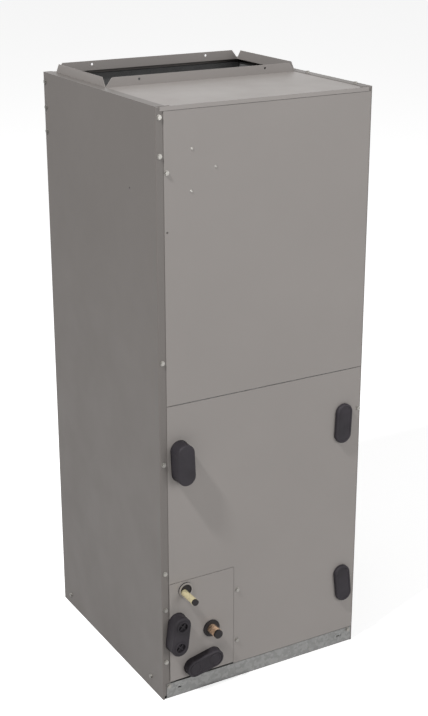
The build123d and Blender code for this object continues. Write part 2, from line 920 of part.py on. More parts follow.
def mitred_tube(points, radius, sides):
    """Many-sided bar along straight runs with mitred corners."""
    first = Vector(*points[1]) - Vector(*points[0])
    with BuildPart(mode=Mode.PRIVATE) as tube:
        with BuildLine() as route:
            Polyline(*points)
        with BuildSketch(Plane(origin=points[0], z_dir=first)):
            RegularPolygon(radius, sides)
        sweep(path=route.wires()[0], transition=Transition.RIGHT)
    return tube.part


bend_start = (coil_length - bend_count * 2 * bend_pitch) / 2 + bend_pitch / 2
bend_radius_mid = bend_pitch / 2
bend_shoulder = bend_radius_mid * math.tan(math.radians(22.5))
with BuildPart() as return_bends:
    for side in (-1, 1):
        for y_face, outward in ((coil_front - sheet_gauge, -1), (coil_back + sheet_gauge, 1)):
            slab = slab_plane(side, y_face)
            for step in range(bend_count):
                middle = bend_start + step * 2 * bend_pitch + bend_radius_mid
                profile = (
                    (-bend_radius_mid, 0),
                    (-bend_radius_mid, bend_shoulder),
                    (-bend_shoulder, bend_radius_mid),
                    (bend_shoulder, bend_radius_mid),
                    (bend_radius_mid, bend_shoulder),
                    (bend_radius_mid, 0),
                )
                route_points = [
                    tuple(slab.from_local_coords((0, middle + up, 0)) + Vector(0, outward * out, 0))
                    for up, out in profile
                ]
                add(mitred_tube(route_points, tube_radius, tube_sides))
return_bends.part.label = "return_bends"
export_step(return_bends.part, "parts/return_bends.step")

# Delta plates close the front and back of the A
delta_start = pan_bottom + pan_height / 2 + slip
delta_foot = coil_side_at(delta_start) - (coil_thickness / 2 + seat_gap) / math.cos(lean)
delta_height = coil_length * math.cos(lean) - coil_thickness
with BuildPart() as delta_plates:
    for y_face in (coil_front, coil_back - sheet_gauge):
        with BuildSketch(Plane(origin=(0, y_face, delta_start), x_dir=(1, 0, 0), z_dir=(0, -1, 0))):
            Polygon(
                (-delta_foot, 0),
                (delta_foot, 0),
                (delta_foot - delta_height * math.tan(lean), delta_height),
                (-delta_foot + delta_height * math.tan(lean), delta_height),
                align=None,
            )
        extrude(amount=-sheet_gauge)
delta_plates.part.label = "delta_plates"
export_step(delta_plates.part, "parts/delta_plates.step")

cap_bottom = coil_top_height + math.sin(lean) * (coil_thickness / 2 + sheet_rim) + seat_gap
coil_depth = coil_back - coil_front
with BuildPart() as coil_top_cap:
    with Locations((0, (coil_front + coil_back) / 2, cap_bottom)):
        Box(coil_cap_width, coil_depth, sheet_gauge, align=(Align.CENTER, Align.CENTER, Align.MIN))
        for side in (-1, 1):
            with Locations((side * (coil_cap_width - sheet_gauge) / 2, 0, sheet_gauge)):
                Box(sheet_gauge, coil_depth, lip_height, align=(Align.CENTER, Align.CENTER, Align.MAX))
coil_top_cap.part.label = "coil_top_cap"
export_step(coil_top_cap.part, "parts/coil_top_cap.step")


# Refrigerant lines: suction header with its feeders, liquid line, metering device and distributor
suction_x = from_left(suction_stub_side)
liquid_x = from_left(liquid_stub_side)

feeder_end_y = coil_front - sheet_gauge - seat_gap


def tube_row_side(height):
    """Distance from the middle of a slab's inner tube row at a height."""
    return coil_side_at(height) - second_row / math.cos(lean)


with BuildPart() as suction_header:
    add(
        mitred_tube(
            (
                (suction_x, front + header_bend / 2, suction_stub_height),
                (suction_x, header_y - header_bend / 2, suction_stub_height),
                (suction_x, header_y, suction_stub_height + header_bend / 2),
                (suction_x, header_y, header_top - header_bend / 2),
                (suction_x + header_bend / 2, header_y, header_top),
                (header_end, header_y, header_top),
            ),
            suction_radius,
            header_sides,
        )
    )
    with Locations(front_plane(suction_x, suction_stub_height, front + header_bend / 2)):
        Cylinder(
            suction_neck_radius,
            suction_stub_reach + header_bend / 2,
            align=(Align.CENTER, Align.CENTER, Align.MIN),
        )
    with Locations(front_plane(suction_x, suction_stub_height, front - neck_reach)):
        Cylinder(
            suction_radius,
            suction_stub_reach - neck_reach,
            align=(Align.CENTER, Align.CENTER, Align.MIN),
        )
    with Locations(front_plane(suction_x, suction_stub_height, front - suction_stub_reach)):
        Hole(suction_bore, depth=suction_stub_reach)
    for height in feeder_heights[1:]:
        feeder_x = -tube_row_side(height)
        add(
            mitred_tube(
                (
                    (suction_x + suction_bore, header_y, height),
                    (feeder_x - feeder_bend, header_y, height),
                    (feeder_x, header_y + feeder_bend, height),
                    (feeder_x, feeder_end_y, height),
                ),
                tube_radius,
                tube_sides,
            )
        )
    for x, height in (
        (-tube_row_side(feeder_heights[0]), feeder_heights[0]),
        (tube_row_side(header_top), header_top),
    ):
        add(straight_tube((x, header_y + suction_bore, height), (x, feeder_end_y, height), tube_radius))
suction_header.part.label = "suction_header"
export_step(suction_header.part, "parts/suction_header.step")

line_y = front + liquid_line_setback
with BuildPart() as liquid_stub:
    with Locations(front_plane(liquid_x, liquid_stub_height, front + liquid_stub_inside)):
        Cylinder(
            liquid_neck_radius,
            liquid_stub_reach + liquid_stub_inside,
            align=(Align.CENTER, Align.CENTER, Align.MIN),
        )
    with Locations(front_plane(liquid_x, liquid_stub_height, front - neck_reach)):
        Cylinder(
            liquid_stub_radius,
            liquid_stub_reach - neck_reach,
            align=(Align.CENTER, Align.CENTER, Align.MIN),
        )
    with Locations(front_plane(liquid_x, liquid_stub_height, front + liquid_stub_inside)):
        Cylinder(
            liquid_stub_bore,
            liquid_stub_reach + liquid_stub_inside,
            align=(Align.CENTER, Align.CENTER, Align.MIN),
            mode=Mode.SUBTRACT,
        )
        Cylinder(liquid_neck_radius, 2 * case_gauge, align=(Align.CENTER, Align.CENTER, Align.MIN))
liquid_stub.part.label = "liquid_stub"
export_step(liquid_stub.part, "parts/liquid_stub.step")

with BuildPart() as liquid_line:
    add(
        mitred_tube(
            (
                (liquid_x, front + liquid_stub_inside, liquid_stub_height),
                (liquid_x, line_y - liquid_bend, liquid_stub_height),
                (liquid_x, line_y, liquid_stub_height + liquid_bend),
                (liquid_x, line_y, metering_bottom),
            ),
            liquid_tube_radius,
            header_sides,
        )
    )
liquid_line.part.label = "liquid_line"
export_step(liquid_line.part, "parts/liquid_line.step")

metering_top = metering_bottom + metering_length
with BuildPart() as metering_device:
    with Locations((liquid_x, line_y, metering_bottom)):
        Cylinder(metering_radius, metering_length, align=(Align.CENTER, Align.CENTER, Align.MIN))
    with BuildSketch(Plane.XY.offset(metering_bottom + metering_length / 3)):
        with Locations((liquid_x, line_y)):
            RegularPolygon(metering_radius + pan_wall, 6)
    extrude(amount=metering_length / 3)
    with Locations((liquid_x, line_y, metering_top)):
        Cone(
            liquid_tube_radius,
            metering_radius - 1,
            distributor_length,
            align=(Align.CENTER, Align.CENTER, Align.MIN),
        )
metering_device.part.label = "metering_device"
export_step(metering_device.part, "parts/metering_device.step")

capillary_start = metering_top + distributor_length
with BuildPart() as distributor_tubes:
    for index, (side, height) in enumerate(capillary_ends):
        start_x = liquid_x + (index - 1.5) * 2.5 * capillary_radius
        end_x = side * tube_row_side(height)
        side_step = math.copysign(capillary_bend, end_x - start_x)
        add(
            mitred_tube(
                (
                    (start_x, line_y, capillary_start),
                    (start_x, line_y, height - capillary_bend),
                    (start_x + side_step, line_y, height),
                    (end_x - side_step, line_y, height),
                    (end_x, line_y + capillary_bend, height),
                    (end_x, feeder_end_y, height),
                ),
                capillary_radius,
                tube_sides,
            )
        )
distributor_tubes.part.label = "distributor_tubes"
export_step(distributor_tubes.part, "parts/distributor_tubes.step")

# Grommets and shipping plugs of the two stubs
grommet_x = liquid_x + liquid_hole_offset
grommet_height = liquid_stub_height + liquid_hole_offset

with BuildPart() as grommets:
    with BuildSketch(front_plane(grommet_x, grommet_height, plate_face)):
        Circle(liquid_grommet_radius)
    extrude(amount=grommet_lip)
    with BuildSketch(front_plane(grommet_x, grommet_height, plate_face + grommet_lip + 1)):
        Circle(liquid_grommet_hole - seat_gap)
    extrude(amount=grommet_lip + 1)
    with BuildSketch(front_plane(grommet_x, grommet_height, plate_face - grommet_lip)):
        Circle(liquid_grommet_hole - grommet_rim / 2)
    extrude(amount=1 - grommet_lip, mode=Mode.SUBTRACT)
    with BuildSketch(front_plane(liquid_x, liquid_stub_height, plate_face - 2 * grommet_lip)):
        Circle(liquid_neck_radius + seat_gap)
    extrude(amount=-4 * grommet_lip, mode=Mode.SUBTRACT)
    with BuildSketch(front_plane(suction_x, suction_stub_height, plate_face)):
        Circle(suction_grommet_radius)
        Circle(suction_neck_radius + seat_gap, mode=Mode.SUBTRACT)
    extrude(amount=grommet_lip)
    with BuildSketch(front_plane(suction_x, suction_stub_height, plate_face + grommet_lip + 1)):
        Circle(suction_grommet_radius - grommet_rim - seat_gap)
        Circle(suction_neck_radius + seat_gap, mode=Mode.SUBTRACT)
    extrude(amount=grommet_lip + 1)
grommets.part.label = "grommets"
export_step(grommets.part, "parts/grommets.step")


def stub_plug(x, height, tip_y, bore, cap_radius):
    """Shipping plug: a cap on the stub's end with a shank in its bore."""
    with BuildPart(mode=Mode.PRIVATE) as plug:
        with Locations(front_plane(x, height, tip_y)):
            Cylinder(cap_radius, stub_plug_cap, align=(Align.CENTER, Align.CENTER, Align.MIN))
            Cylinder(bore - running_clearance, stub_plug_depth, align=(Align.CENTER, Align.CENTER, Align.MAX))
    return plug.part


with BuildPart() as liquid_plug:
    liquid_tip = front - liquid_stub_reach
    add(stub_plug(liquid_x, liquid_stub_height, liquid_tip, liquid_stub_bore, liquid_neck_radius))
liquid_plug.part.label = "liquid_plug"
export_step(liquid_plug.part, "parts/liquid_plug.step")

suction_tip_y = front - suction_stub_reach
with BuildPart() as suction_plug:
    add(stub_plug(suction_x, suction_stub_height, suction_tip_y, suction_bore, suction_neck_radius))
suction_plug.part.label = "suction_plug"
export_step(suction_plug.part, "parts/suction_plug.step")

# Blower housing: spiral wrapper between two side plates
blower_centre = (0, wheel_y, wheel_height)
blower_axis = Axis(blower_centre, (1, 0, 0))
second_radius = scroll_start_radius + scroll_step
third_radius = second_radius + scroll_step
throat_front = scroll_centre_y + cutoff_radius
nose_height = scroll_centre_height + scroll_start_radius + cutoff_radius
third_y = scroll_centre_y + scroll_step
third_height = scroll_centre_height + scroll_step
throat_back = third_y + third_radius


def scroll_path(outward):
    """Open spiral from the cutoff round to the throat's back wall, moved outward."""
    Line((throat_front - outward, scroll_top), (throat_front - outward, nose_height))
    CenterArc((scroll_centre_y, nose_height), cutoff_radius - outward, 0, -90)
    CenterArc((scroll_centre_y, scroll_centre_height), scroll_start_radius + outward, 90, 90)
    CenterArc((third_y, scroll_centre_height), second_radius + outward, 180, 90)
    CenterArc((third_y, third_height), third_radius + outward, 270, 90)
    Line((throat_back + outward, third_height), (throat_back + outward, scroll_top))


with BuildPart() as scroll_wrapper:
    with BuildSketch(Plane.YZ.offset(-housing_width / 2)):
        with BuildLine():
            scroll_path(0)
            scroll_path(case_gauge)
            Line((throat_front, scroll_top), (throat_front - case_gauge, scroll_top))
            Line((throat_back, scroll_top), (throat_back + case_gauge, scroll_top))
        make_face()
    extrude(amount=housing_width)
scroll_wrapper.part.label = "scroll_wrapper"
export_step(scroll_wrapper.part, "parts/scroll_wrapper.step")

housing_side = housing_width / 2
flange_height = deck_height - slide_lip_drop + seat_gap
mouth_start = housing_side + case_gauge - inlet_mouth
mouth_plane = Plane(origin=blower_centre, x_dir=(1, 0, 0), z_dir=(0, -1, 0))


def side_plate(side):
    """Housing side with its inlet mouth and hanging flange."""
    with BuildPart(mode=Mode.PRIVATE) as plate:
        with BuildSketch(Plane.YZ.offset(housing_side)):
            with BuildLine():
                scroll_path(side_plate_rim)
                Line((throat_front - side_plate_rim, scroll_top), (throat_back + side_plate_rim, scroll_top))
            make_face()
            with Locations((wheel_y, wheel_height)):
                Circle(inlet_radius + inlet_mouth, mode=Mode.SUBTRACT)
        extrude(amount=case_gauge)
        with BuildSketch(mouth_plane):
            with BuildLine():
                CenterArc((mouth_start, inlet_radius + inlet_mouth), inlet_mouth, 270, 90)
                CenterArc((mouth_start, inlet_radius + inlet_mouth), inlet_mouth - case_gauge, 270, 90)
                Line((mouth_start, inlet_radius), (mouth_start, inlet_radius + case_gauge))
                Line(
                    (housing_side, inlet_radius + inlet_mouth),
                    (housing_side + case_gauge, inlet_radius + inlet_mouth),
                )
            make_face()
        revolve(axis=blower_axis)
        with Locations((housing_side + case_gauge, throat_front - side_plate_rim, flange_height)):
            Box(housing_flange, throat_back - throat_front + 2 * side_plate_rim, case_gauge, align=Align.MIN)
        if side < 0:
            mirror(about=Plane.YZ, mode=Mode.REPLACE)
    return plate.part


with BuildPart() as blower_side_left:
    add(side_plate(-1))
blower_side_left.part.label = "blower_side_left"
export_step(blower_side_left.part, "parts/blower_side_left.step")

with BuildPart() as blower_side_right:
    add(side_plate(1))
blower_side_right.part.label = "blower_side_right"
export_step(blower_side_right.part, "parts/blower_side_right.step")

# Blower wheel: forward-curved blades between two rings, a centre disc and a hub
wheel_plane = Plane(origin=(-wheel_width / 2, wheel_y, wheel_height), x_dir=(0, 1, 0), z_dir=(1, 0, 0))
blade_outer_radius = wheel_radius - ring_width / 2
blade_mid_radius = (blade_inner_radius + blade_outer_radius) / 2


def blade_point(radius, degrees):
    """Point of a blade's section."""
    angle = math.radians(degrees)
    return (radius * math.cos(angle), radius * math.sin(angle))


blade_step = math.degrees(blade_thickness / blade_mid_radius)
blade_outline = (
    blade_point(blade_inner_radius, 0),
    blade_point(blade_mid_radius, blade_sweep / 4),
    blade_point(blade_outer_radius, blade_sweep),
    blade_point(blade_outer_radius, blade_sweep + blade_step),
    blade_point(blade_mid_radius, blade_sweep / 4 + blade_step),
    blade_point(blade_inner_radius, blade_step),
)
with BuildSketch(mode=Mode.PRIVATE) as blade:
    Polygon(*blade_outline, align=None)

with BuildPart() as blower_wheel:
    with BuildSketch(wheel_plane):
        with PolarLocations(0, blade_count):
            add(blade.sketch)
    extrude(amount=wheel_width)
    for start in (0, wheel_width - ring_width):
        with BuildSketch(wheel_plane.offset(start)):
            Circle(wheel_radius)
            Circle(wheel_radius - 2 * ring_width, mode=Mode.SUBTRACT)
        extrude(amount=ring_width)
    disc_start = wheel_width / 2 + disc_offset
    with BuildSketch(wheel_plane.offset(disc_start)):
        Circle(blade_mid_radius)
    extrude(amount=disc_gauge)
    with BuildSketch(wheel_plane.offset(disc_start - hub_length + disc_gauge)):
        Circle(hub_radius)
    extrude(amount=hub_length)
    with BuildSketch(wheel_plane.offset(disc_start - hub_length)):
        Circle(shaft_radius + running_clearance)
    extrude(amount=2 * hub_length, mode=Mode.SUBTRACT)
blower_wheel.part.label = "blower_wheel"
export_step(blower_wheel.part, "parts/blower_wheel.step")

# Motor: shell with two bearing seats, stator, rotor, shaft, bearings and control module
motor_end = motor_start + motor_length
front_bearing = motor_start + motor_shell
rear_bearing = motor_end - motor_shell - bearing_length


def wheel_disc(start, length, outer, inner=0.0):
    """Ring or disc about the wheel's axis, from an X place."""
    with BuildPart(mode=Mode.PRIVATE) as ring:
        with BuildSketch(Plane(origin=(start, wheel_y, wheel_height), x_dir=(0, 1, 0), z_dir=(1, 0, 0))):
            Circle(outer)
            if inner:
                Circle(inner, mode=Mode.SUBTRACT)
        extrude(amount=length)
    return ring.part


seat_inner = bearing_radius + running_clearance
seat_outer = bearing_radius + pan_wall
with BuildPart() as motor_shell_part:
    add(wheel_disc(motor_start, motor_length, motor_radius, motor_radius - motor_shell))
    add(wheel_disc(motor_start, motor_shell, motor_radius, shaft_radius + pan_wall))
    add(wheel_disc(motor_end - motor_shell, motor_shell, motor_radius))
    add(wheel_disc(front_bearing, bearing_length, seat_outer, seat_inner))
    add(wheel_disc(rear_bearing, bearing_length, seat_outer, seat_inner))
motor_shell_part.part.label = "motor_shell"
export_step(motor_shell_part.part, "parts/motor_shell.step")

with BuildPart() as motor_bearings:
    add(wheel_disc(front_bearing, bearing_length, bearing_radius, shaft_radius + running_clearance))
    add(wheel_disc(rear_bearing, bearing_length, bearing_radius, shaft_radius + running_clearance))
motor_bearings.part.label = "motor_bearings"
export_step(motor_bearings.part, "parts/motor_bearings.step")

core_start = front_bearing + bearing_length + pan_wall
core_length = rear_bearing - pan_wall - core_start
with BuildPart() as motor_stator:
    stator_radius = motor_radius - motor_shell - running_clearance
    add(wheel_disc(core_start, core_length, stator_radius, stator_inner_radius))
motor_stator.part.label = "motor_stator"
export_step(motor_stator.part, "parts/motor_stator.step")

with BuildPart() as motor_rotor:
    add(wheel_disc(core_start + 2, core_length - 4, rotor_core_radius, shaft_radius + running_clearance))
motor_rotor.part.label = "motor_rotor"
export_step(motor_rotor.part, "parts/motor_rotor.step")

shaft_start = disc_offset - hub_length - 2 * case_gauge
with BuildPart() as motor_shaft:
    add(wheel_disc(shaft_start, rear_bearing + bearing_length - 1 - shaft_start, shaft_radius))
motor_shaft.part.label = "motor_shaft"
export_step(motor_shaft.part, "parts/motor_shaft.step")

with BuildPart() as motor_module:
    add(wheel_disc(motor_end, module_length, module_radius))
    chamfer(motor_module.faces().sort_by(Axis.X)[-1].edges(), port_edge)
motor_module.part.label = "motor_module"
export_step(motor_module.part, "parts/motor_module.step")

# Motor mount: belly band with three arms that lie on the right side plate
arm_face = housing_side + case_gauge + seat_gap
band_start = motor_end - band_width - 2 * motor_shell
with BuildPart() as motor_mount:
    band_inner = motor_radius + running_clearance
    add(wheel_disc(band_start, band_width, band_inner + band_gauge, band_inner))
    for angle in (90, 210, 330):
        turn = math.radians(angle)
        arm_plane = Plane(origin=blower_centre, x_dir=(1, 0, 0), z_dir=(0, -math.sin(turn), math.cos(turn)))
        strap_inner = motor_radius + band_gauge / 2
        with BuildSketch(arm_plane):
            Polygon(
                (band_start, strap_inner),
                (arm_face + arm_gauge, strap_inner),
                (arm_face + arm_gauge, arm_reach),
                (arm_face, arm_reach),
                (arm_face, strap_inner + arm_gauge),
                (band_start, strap_inner + arm_gauge),
                align=None,
            )
        extrude(amount=arm_width / 2, both=True)
motor_mount.part.label = "motor_mount"
export_step(motor_mount.part, "parts/motor_mount.step")

# Blower deck and the two slide rails under it
deck_front = liner_front - shank_length + case_gauge
with BuildPart() as blower_deck:
    with Locations((0, deck_front, deck_height)):
        Box(
            2 * wall_inner - 2 * slip,
            back_inner - deck_front,
            case_gauge,
            align=(Align.CENTER, Align.MIN, Align.MIN),
        )
    with Locations((0, throat_front, deck_height)):
        Box(
            housing_width,
            throat_back - throat_front,
            3 * case_gauge,
            align=(Align.CENTER, Align.MIN, Align.CENTER),
            mode=Mode.SUBTRACT,
        )
blower_deck.part.label = "blower_deck"
export_step(blower_deck.part, "parts/blower_deck.step")

rail_side = housing_side + case_gauge + housing_flange + 1
with BuildPart() as blower_slide_rails:
    with BuildSketch(Plane(origin=(0, front + blower_rail_setback, 0), x_dir=(1, 0, 0), z_dir=(0, -1, 0))):
        with BuildLine():
            Polyline(
                (rail_side + case_gauge - slide_lip_width, deck_height - slide_lip_drop - case_gauge),
                (rail_side + case_gauge, deck_height - slide_lip_drop - case_gauge),
                (rail_side + case_gauge, deck_height - case_gauge),
                (rail_side + slide_lip_width, deck_height - case_gauge),
            )
            offset(amount=case_gauge, side=Side.LEFT)
        make_face()
    extrude(amount=front + blower_rail_setback - back_liner_face + shank_length)
    mirror(about=Plane.YZ)
blower_slide_rails.part.label = "blower_slide_rails"
export_step(blower_slide_rails.part, "parts/blower_slide_rails.step")

# Partition between the plenum and the control compartment, with the heater cover
partition_y = front + partition_from_front
heater_middle = from_left(heater_left) + heater_width / 2
with BuildPart() as plenum_partition:
    with Locations((0, partition_y, deck_top)):
        Box(
            2 * liner_inner - 2 * slip,
            case_gauge,
            top_inner - deck_top,
            align=(Align.CENTER, Align.MIN, Align.MIN),
        )
    with Locations((heater_middle, partition_y, heater_bottom)):
        Box(
            heater_width,
            4 * case_gauge,
            heater_height,
            align=(Align.CENTER, Align.CENTER, Align.MIN),
            mode=Mode.SUBTRACT,
        )
plenum_partition.part.label = "plenum_partition"
export_step(plenum_partition.part, "parts/plenum_partition.step")

with BuildPart() as heater_cover:
    with Locations((heater_middle, partition_y, heater_bottom - heater_cover_rim)):
        Box(
            heater_width + 2 * heater_cover_rim,
            case_gauge,
            heater_height + 2 * heater_cover_rim,
            align=(Align.CENTER, Align.MAX, Align.MIN),
        )
heater_cover.part.label = "heater_cover"
export_step(heater_cover.part, "parts/heater_cover.step")

# Control box with its board, transformer, relay and terminal block
control_x = from_left(control_left)
with BuildPart() as control_box:
    with Locations((control_x, partition_y, control_bottom)):
        Box(control_width, control_depth, control_height, align=(Align.MIN, Align.MAX, Align.MIN))
    with Locations((control_x + case_gauge, partition_y - case_gauge, control_bottom + case_gauge)):
        Box(
            control_width - 2 * case_gauge,
            control_depth,
            control_height - 2 * case_gauge,
            align=(Align.MIN, Align.MAX, Align.MIN),
            mode=Mode.SUBTRACT,
        )
control_box.part.label = "control_box"
export_step(control_box.part, "parts/control_box.step")

control_floor = partition_y - case_gauge
board_x = control_x + control_width - board_width - lip_margin
board_bottom = control_bottom + lip_margin
relay_size = (30.0, 28.0, 34.0)
with BuildPart() as control_board:
    with Locations((board_x, control_floor - standoff, board_bottom)):
        Box(board_width, board_gauge, board_height, align=(Align.MIN, Align.MAX, Align.MIN))
    corner_grid = ((1, 1), (1, -1), (-1, 1), (-1, -1))
    for sign_x, sign_z in corner_grid:
        corner = (
            board_x + board_width / 2 + sign_x * (board_width / 2 - standoff),
            board_bottom + board_height / 2 + sign_z * (board_height / 2 - standoff),
        )
        with Locations(front_plane(corner[0], corner[1], control_floor)):
            Cylinder(pan_wall, standoff, align=(Align.CENTER, Align.CENTER, Align.MIN))
    relay_y = control_floor - standoff - board_gauge
    with Locations((board_x + board_width / 2, relay_y, board_bottom + board_height / 2)):
        Box(*relay_size, align=(Align.CENTER, Align.MAX, Align.CENTER))
control_board.part.label = "control_board"
export_step(control_board.part, "parts/control_board.step")

transformer_size = (46.0, 40.0, 52.0)
with BuildPart() as transformer:
    transformer_bottom = board_bottom + board_height - transformer_size[2]
    with Locations((control_x + lip_margin / 2, control_floor, transformer_bottom)):
        Box(*transformer_size, align=(Align.MIN, Align.MAX, Align.MIN))
transformer.part.label = "transformer"
export_step(transformer.part, "parts/transformer.step")

terminal_size = (62.0, 18.0, 16.0)
with BuildPart() as terminal_block:
    with Locations((board_x, control_floor, control_bottom + control_height - lip_margin)):
        Box(*terminal_size, align=(Align.MIN, Align.MAX, Align.MAX))
terminal_block.part.label = "terminal_block"
export_step(terminal_block.part, "parts/terminal_block.step")

# Upper access panel, its liner, screw and rivets
upper_bottom = split_height + panel_joint / 2
upper_top = cabinet_height - lip_height - 0.8
with BuildPart() as upper_access_panel:
    with Locations((panel_left, front, upper_bottom)):
        Box(panel_right - panel_left, panel_gauge, upper_top - upper_bottom, align=Align.MIN)
    for side, height in (upper_panel_screw, upper_panel_hole):
        with Locations(front_plane(from_left(side), height, front)):
            Hole(screw_radius + screw_clearance, depth=2 * case_gauge)
upper_access_panel.part.label = "upper_access_panel"
export_step(upper_access_panel.part, "parts/upper_access_panel.step")

upper_liner_half = 230.0
upper_liner_margin = 18.0
with BuildPart() as upper_panel_liner:
    with Locations((0, panel_back, upper_bottom + upper_liner_margin)):
        Box(
            2 * upper_liner_half,
            liner,
            upper_top - upper_bottom - 2 * upper_liner_margin,
            align=(Align.CENTER, Align.MIN, Align.MIN),
        )
upper_panel_liner.part.label = "upper_panel_liner"
export_step(upper_panel_liner.part, "parts/upper_panel_liner.step")

with BuildPart() as upper_panel_screw_part:
    add(hex_screw(front_plane(from_left(upper_panel_screw[0]), upper_panel_screw[1], front)))
upper_panel_screw_part.part.label = "upper_panel_screw"
export_step(upper_panel_screw_part.part, "parts/upper_panel_screw.step")

with BuildPart() as panel_rivets:
    for side, height in rivet_places:
        with Locations(front_plane(from_left(side), height, front)):
            Cone(rivet_radius, rivet_radius / 2, rivet_height, align=(Align.CENTER, Align.CENTER, Align.MIN))
panel_rivets.part.label = "panel_rivets"
export_step(panel_rivets.part, "parts/panel_rivets.step")

# Lower access panel with the notch for the connection plate and the port openings
lower_bottom = door_height + 1
lower_top = split_height - panel_joint / 2
blank_ports = (
    (right - blank_plug_side, blank_plug_height, 90 - blank_plug_tilt),
    (right - blank_low_side, blank_low_height, 90 + lower_port_tilt),
)
with BuildPart() as lower_access_panel:
    with Locations((panel_left, front, lower_bottom)):
        Box(panel_right - panel_left, panel_gauge, lower_top - lower_bottom, align=Align.MIN)
    with Locations((panel_left, front - 1, lower_bottom)):
        Box(
            from_left(plate_right) + 1 - panel_left,
            4 * case_gauge,
            plate_top + 1 - lower_bottom,
            align=Align.MIN,
            mode=Mode.SUBTRACT,
        )
    with BuildSketch(front_plane(from_left(upper_port_side), upper_port_height, front + 2 * panel_gauge)):
        SlotOverall(
            port_length + 2 * port_hole_clearance,
            port_width + 2 * port_hole_clearance,
            rotation=90 + upper_port_tilt,
        )
    extrude(amount=3 * panel_gauge, mode=Mode.SUBTRACT)
    for x, height, tilt in blank_ports:
        with BuildSketch(front_plane(x, height, front + 2 * panel_gauge)):
            SlotOverall(port_length - 2 * blank_plug_seat, port_width - 2 * blank_plug_seat, rotation=tilt)
        extrude(amount=3 * panel_gauge, mode=Mode.SUBTRACT)
    for side, height in lower_panel_screws:
        with Locations(front_plane(from_left(side), height, front)):
            Hole(screw_radius + screw_clearance, depth=2 * case_gauge)
lower_access_panel.part.label = "lower_access_panel"
export_step(lower_access_panel.part, "parts/lower_access_panel.step")

with BuildPart() as blank_port_plugs:
    for x, height, tilt in blank_ports:
        with BuildPart(mode=Mode.PRIVATE) as cap:
            with BuildSketch(front_plane(x, height, front)):
                SlotOverall(port_length, port_width, rotation=tilt)
            extrude(amount=blank_plug_reach)
            chamfer(cap.faces().sort_by(Axis.Y)[0].edges(), port_edge)
            with BuildSketch(front_plane(x, height, front - blank_plug_reach + blank_recess)):
                SlotOverall(port_length - 2 * blank_rim, port_width - 2 * blank_rim, rotation=tilt)
            extrude(amount=2 * blank_recess, mode=Mode.SUBTRACT)
            shank_inset = blank_plug_seat + plug_clearance
            with BuildSketch(front_plane(x, height, front)):
                SlotOverall(port_length - 2 * shank_inset, port_width - 2 * shank_inset, rotation=tilt)
            extrude(amount=-blank_plug_shank)
        add(cap.part)
blank_port_plugs.part.label = "blank_port_plugs"
export_step(blank_port_plugs.part, "parts/blank_port_plugs.step")

lower_liner_half = 185.0
lower_liner_bottom = plate_top + shank_length + lip_height
with BuildPart() as lower_panel_liner:
    with Locations((0, panel_back, lower_liner_bottom)):
        Box(
            2 * lower_liner_half,
            liner,
            split_height - 2 * liner - lower_liner_bottom,
            align=(Align.CENTER, Align.MIN, Align.MIN),
        )
lower_panel_liner.part.label = "lower_panel_liner"
export_step(lower_panel_liner.part, "parts/lower_panel_liner.step")

with BuildPart() as lower_panel_screws_part:
    for side, height in lower_panel_screws:
        add(hex_screw(front_plane(from_left(side), height, front)))
lower_panel_screws_part.part.label = "lower_panel_screws"
export_step(lower_panel_screws_part.part, "parts/lower_panel_screws.step")

# Connection plate: raised tray with flanges that pass behind the lower panel
plate_flange = 19.0
plate_left_inner = from_left(post_width + 1)
plate_right_edge = from_left(plate_right)
with BuildPart() as connection_plate:
    with Locations((panel_left, plate_face, plate_bottom)):
        Box(plate_right_edge - panel_left, case_gauge, plate_top - plate_bottom, align=Align.MIN)
    with Locations((plate_right_edge - case_gauge, plate_face, plate_bottom)):
        Box(case_gauge, post_back - plate_face, plate_top - plate_bottom, align=Align.MIN)
    with Locations((plate_right_edge - case_gauge, post_front, plate_bottom)):
        Box(plate_flange, case_gauge, plate_top - plate_bottom, align=Align.MIN)
    with Locations((plate_left_inner, plate_face, plate_top - case_gauge)):
        Box(plate_right_edge - plate_left_inner, post_back - plate_face, case_gauge, align=Align.MIN)
    with Locations((plate_left_inner, post_front, plate_top - case_gauge)):
        Box(
            plate_right_edge - plate_left_inner + plate_flange - case_gauge,
            case_gauge,
            plate_flange - plate_return,
            align=Align.MIN,
        )
    for side, height, tilt in (
        (lower_port_side, lower_port_height, 90 - lower_port_tilt),
        (bottom_port_side, bottom_port_height, bottom_port_tilt),
    ):
        with BuildSketch(front_plane(from_left(side), height, post_back + 1)):
            SlotOverall(
                port_length + 2 * port_hole_clearance,
                port_width + 2 * port_hole_clearance,
                rotation=tilt,
            )
        extrude(amount=6 * case_gauge, mode=Mode.SUBTRACT)
    with BuildSketch(front_plane(grommet_x, grommet_height, front + 1)):
        Circle(liquid_grommet_hole)
    extrude(amount=3 * case_gauge, mode=Mode.SUBTRACT)
    with BuildSketch(front_plane(suction_x, suction_stub_height, front + 1)):
        Circle(suction_grommet_radius - grommet_rim)
    extrude(amount=3 * case_gauge, mode=Mode.SUBTRACT)
    for side, height in lower_panel_screws[1:]:
        with Locations(front_plane(from_left(side), height, post_front)):
            Hole(screw_radius + screw_clearance, depth=2 * case_gauge)
connection_plate.part.label = "connection_plate"
export_step(connection_plate.part, "parts/connection_plate.step")

